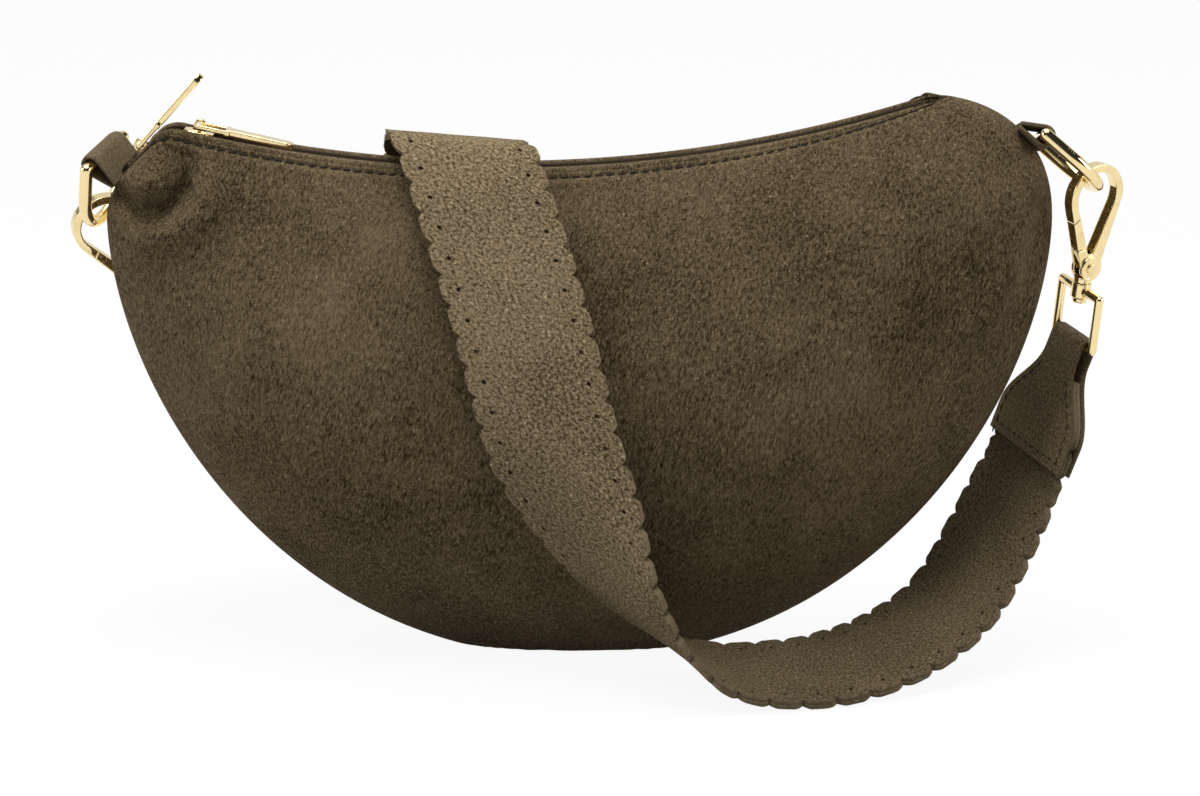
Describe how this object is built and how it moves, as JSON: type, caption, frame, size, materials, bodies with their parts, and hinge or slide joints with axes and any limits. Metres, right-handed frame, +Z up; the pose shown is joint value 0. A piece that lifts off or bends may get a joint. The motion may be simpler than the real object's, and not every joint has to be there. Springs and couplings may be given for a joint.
{
  "type": "half moon shoulder bag",
  "caption": "Half moon suede shoulder bag with a recessed two-way zip and a scalloped strap clipped to rings at both ends by swivel hooks",
  "frame": {"origin": "centre of the flat base that the bag stands on", "axes": "+X along the bag to its right end, -Y its front, +Z up"},
  "size_m": [0.3474, 0.16, 0.1941],
  "materials": {
    "suede": "taupe brown suede with a short uneven nap",
    "strap_suede": "lighter taupe suede with a short nap and bare cut edges",
    "lining_cloth": "plain woven cotton",
    "zip_tape": "woven tape in the suede's brown",
    "zip_teeth": "dark brown coated metal",
    "gold": "polished pale gold plate",
    "spring_wire": "bright spring wire"
  },
  "bodies": {
    "bag": {"front_panel": "suede", "back_panel": "suede", "lining_front": "lining_cloth", "lining_back": "lining_cloth", "zip_tape_front": "zip_tape", "zip_tape_back": "zip_tape", "zip_teeth_front": "zip_teeth", "zip_teeth_back": "zip_teeth", "zip_end_stops": "gold", "parked_slider": "gold", "right_ring_tab": "suede", "left_ring_tab": "suede", "strap_outer_layer": "strap_suede", "strap_inner_layer": "strap_suede", "right_strap_end": "strap_suede", "left_strap_end": "strap_suede"},
    "running_slider": {"running_slider": "gold"},
    "running_puller": {"running_puller": "gold"},
    "parked_puller": {"parked_puller": "gold"},
    "right_d_ring": {"right_d_ring": "gold"},
    "left_d_ring": {"left_d_ring": "gold"},
    "right_swivel_loop": {"right_swivel_loop": "gold"},
    "left_swivel_loop": {"left_swivel_loop": "gold"},
    "right_hook": {"right_hook": "gold", "right_gate_rivet": "gold", "right_gate_spring": "spring_wire"},
    "left_hook": {"left_hook": "gold", "left_gate_rivet": "gold", "left_gate_spring": "spring_wire"},
    "right_gate": {"right_gate": "gold"},
    "left_gate": {"left_gate": "gold"}
  },
  "joints": [
    {"name": "zip_run", "type": "hinge", "parent": "bag", "child": "running_slider", "pos_m": [-0.024, 0, 0.614], "axis": [0, -1, 0], "range_deg": [0, 3.2], "deforming": ["zip_teeth_front", "zip_teeth_back"]},
    {"name": "running_puller_swing", "type": "hinge", "parent": "running_slider", "child": "running_puller", "pos_m": [-0.12395, 0, 0.17678], "axis": [0, -1, 0], "range_deg": [0, 85]},
    {"name": "parked_puller_swing", "type": "hinge", "parent": "bag", "child": "parked_puller", "pos_m": [-0.14373, 0, 0.17043], "axis": [0, -1, 0], "range_deg": [0, 100]},
    {"name": "right_ring_swing", "type": "hinge", "parent": "bag", "child": "right_d_ring", "pos_m": [0.15104, 0, 0.17272], "axis": [0, 0.9707, -0.2402], "range_deg": [-1, 0]},
    {"name": "right_loop_swing", "type": "hinge", "parent": "bag", "child": "right_swivel_loop", "pos_m": [0.16438, 0.00278, 0.10445], "axis": [0.401, -0.9037, -0.1502], "range_deg": [0, 3]},
    {"name": "right_hook_swivel", "type": "hinge", "parent": "right_swivel_loop", "child": "right_hook", "pos_m": [0.16602, 0.00014, 0.12472], "axis": [0.0799, -0.1288, 0.9884], "range_deg": [-16, 0]},
    {"name": "right_gate_opening", "type": "hinge", "parent": "right_hook", "child": "right_gate", "pos_m": [0.16724, 0.00007, 0.12967], "axis": [-0.5642, 0.8116, 0.1514], "range_deg": [0, 22], "stiffness_Nm_per_rad": 0.002, "springref_deg": -20.05},
    {"name": "left_ring_swing", "type": "hinge", "parent": "bag", "child": "left_d_ring", "pos_m": [-0.15576, 0.00147, 0.16725], "axis": [0.3403, 0.9007, 0.2702], "range_deg": [0, 2]},
    {"name": "left_loop_swing", "type": "hinge", "parent": "bag", "child": "left_swivel_loop", "pos_m": [-0.14027, 0.03159, 0.09951], "axis": [0.1475, 0.8587, 0.4908], "range_deg": [-1, 0]},
    {"name": "left_hook_swivel", "type": "hinge", "parent": "left_swivel_loop", "child": "left_hook", "pos_m": [-0.14742, 0.023, 0.11669], "axis": [-0.3492, -0.4191, 0.8381], "range_deg": [0, 6]},
    {"name": "left_gate_opening", "type": "hinge", "parent": "left_hook", "child": "left_gate", "pos_m": [-0.14831, 0.02112, 0.12135], "axis": [-0.3785, 0.8813, 0.283], "range_deg": [0, 22], "stiffness_Nm_per_rad": 0.002, "springref_deg": -20.05}
  ]
}
